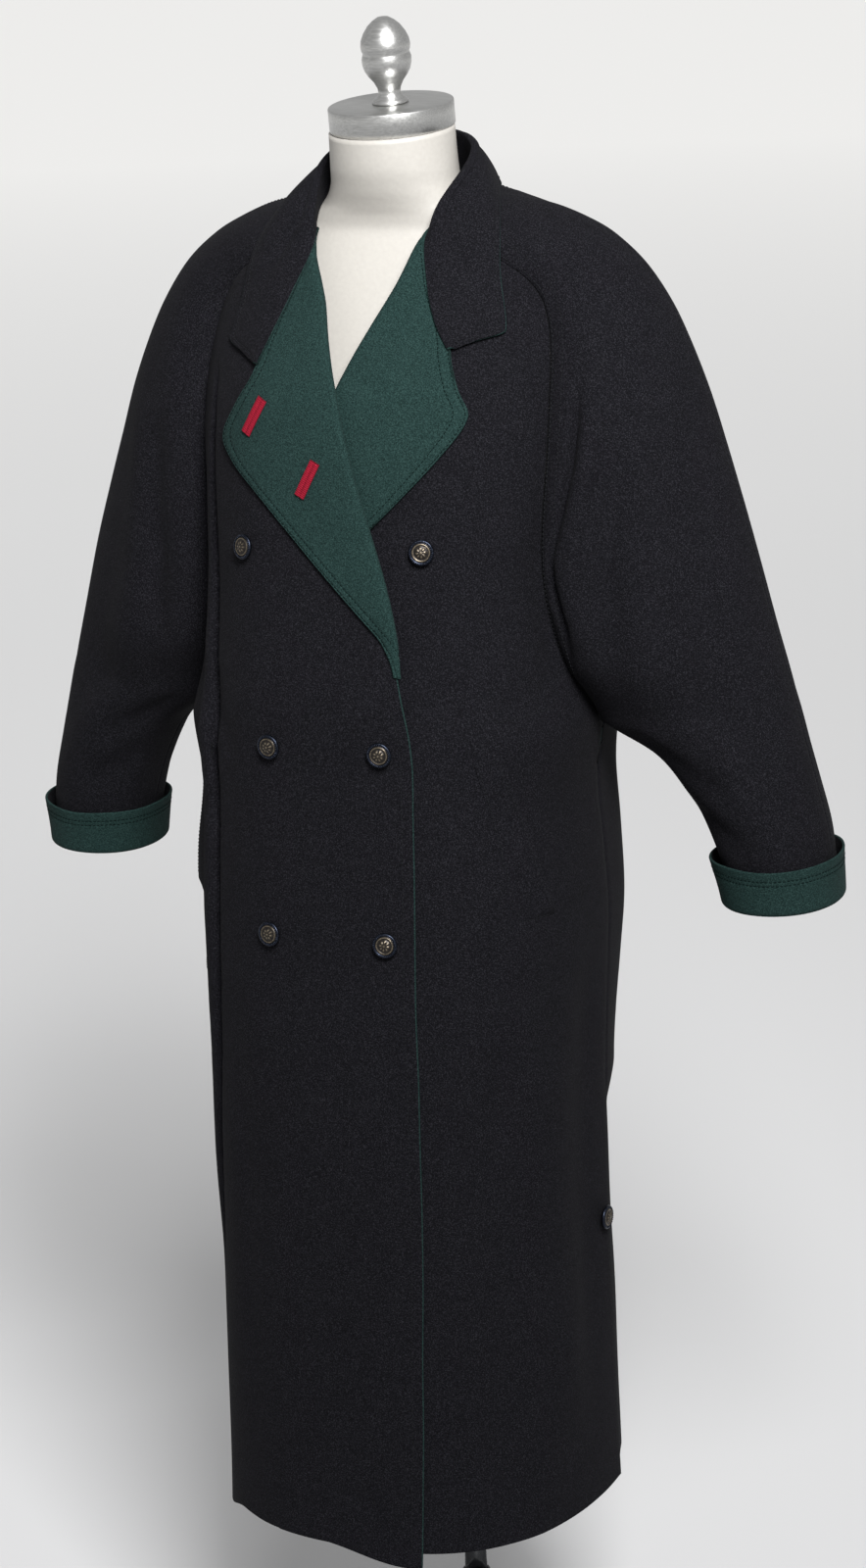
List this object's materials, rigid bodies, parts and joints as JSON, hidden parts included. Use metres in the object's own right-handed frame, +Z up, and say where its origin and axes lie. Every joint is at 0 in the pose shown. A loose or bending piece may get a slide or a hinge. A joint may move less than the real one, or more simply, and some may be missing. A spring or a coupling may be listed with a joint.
{
  "type": "long double-breasted coat on a dress form",
  "caption": "Long double-breasted boiled wool coat with wide lapels and raglan sleeves, standing on a limbless dress form.",
  "frame": {"origin": "on the floor, under the middle of the dress form's pole", "axes": "+Z up along the pole; -Y is the coat's front; +X is the wearer's left"},
  "size_m": [0.821, 0.4777, 1.6769],
  "materials": {
    "wool": "matte, napped boiled wool",
    "wool_green": "matte, napped boiled wool",
    "binding": "matte cord and thread",
    "button": "antiqued",
    "form": "smooth matte",
    "cap": "brushed",
    "pole": "polished",
    "base": "satin black"
  },
  "bodies": {
    "root": {"front_left": "wool", "front_right": "wool", "back": "wool", "collar": "wool", "sleeve_left_front": "wool", "sleeve_left_back": "wool", "sleeve_right_front": "wool", "sleeve_right_back": "wool", "cuff_left": "wool_green", "cuff_right": "wool_green", "lapel_left": "wool_green", "lapel_right": "wool_green", "pocket_welt_left": "wool", "pocket_welt_right": "wool", "buttonhole_upper": "binding", "buttonhole_lower": "binding", "button_front_1": "button", "button_front_2": "button", "button_front_3": "button", "button_front_4": "button", "button_front_5": "button", "button_front_6": "button", "button_side_left": "button", "button_side_right": "button", "form_torso": "form", "form_cap": "cap", "form_finial": "cap", "form_pole": "pole", "form_base": "base"}
  },
  "joints": []
}
